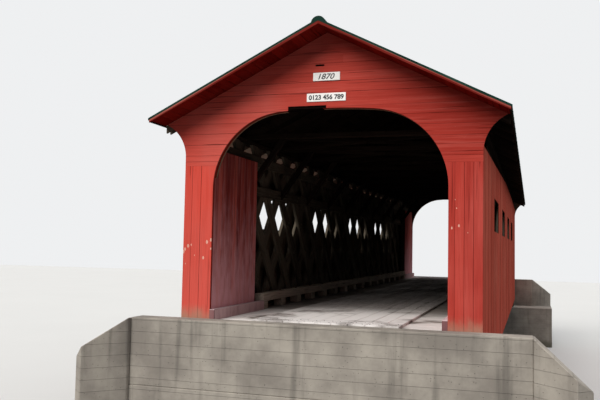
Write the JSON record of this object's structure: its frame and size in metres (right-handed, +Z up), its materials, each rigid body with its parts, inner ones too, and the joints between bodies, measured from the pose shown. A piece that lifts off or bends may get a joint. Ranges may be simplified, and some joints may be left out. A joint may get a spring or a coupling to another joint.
{
  "type": "covered bridge",
  "caption": "Covered timber road bridge: lattice trusses and boarded sides under a gabled metal roof, arched portals with flared shoulders, on concrete abutments.",
  "frame": {"origin": "on the ground under the middle of the bridge", "axes": "+Y along the roadway away from the near portal, +X to the right of someone walking in at the near portal, +Z up"},
  "size_m": [8.797, 26.652, 8.3305],
  "materials": {
    "painted_boards": "weathered red paint on sawn boards",
    "lining_boards": "dull purple-red paint on sawn boards",
    "deck_planks": "bare planks worn pale grey by wheels",
    "curb_timber": "bare weathered grey timber",
    "truss_timber": "old dark unpainted timber",
    "roof_metal": "dark green paint on seamed sheet, satin",
    "concrete": "cast concrete, stained"
  },
  "bodies": {
    "root": {"abutment_stems": "concrete", "back_walls": "concrete", "bed_timbers": "truss_timber", "deck": "deck_planks", "eave_boards": "painted_boards", "end_posts": "truss_timber", "far_arch_rib": "truss_timber", "far_gable": "painted_boards", "far_leg_boards": "painted_boards", "floor_beams": "truss_timber", "half_braces": "truss_timber", "jamb_posts": "painted_boards", "kick_timbers": "lining_boards", "knee_braces": "truss_timber", "left_curb": "curb_timber", "left_lattice": "truss_timber", "left_lower_chords": "truss_timber", "left_rafters": "truss_timber", "left_roof_boards": "truss_timber", "left_roof_sheet": "roof_metal", "left_siding": "painted_boards", "left_upper_chords": "truss_timber", "nailers": "truss_timber", "near_arch_rib": "truss_timber", "near_gable": "painted_boards", "near_leg_boards": "painted_boards", "rafter_plates": "truss_timber", "rake_boards": "painted_boards", "reveal_boards": "lining_boards", "reveal_studs": "truss_timber", "ridge_cap": "roof_metal", "right_curb": "curb_timber", "right_lattice": "truss_timber", "right_lower_chords": "truss_timber", "right_rafters": "truss_timber", "right_roof_boards": "truss_timber", "right_roof_sheet": "roof_metal", "right_siding": "painted_boards", "right_upper_chords": "truss_timber", "running_planks": "deck_planks", "stringers": "truss_timber", "through_braces": "truss_timber", "tie_beams": "truss_timber", "wall_plates": "truss_timber", "wing_walls": "concrete"}
  },
  "joints": []
}
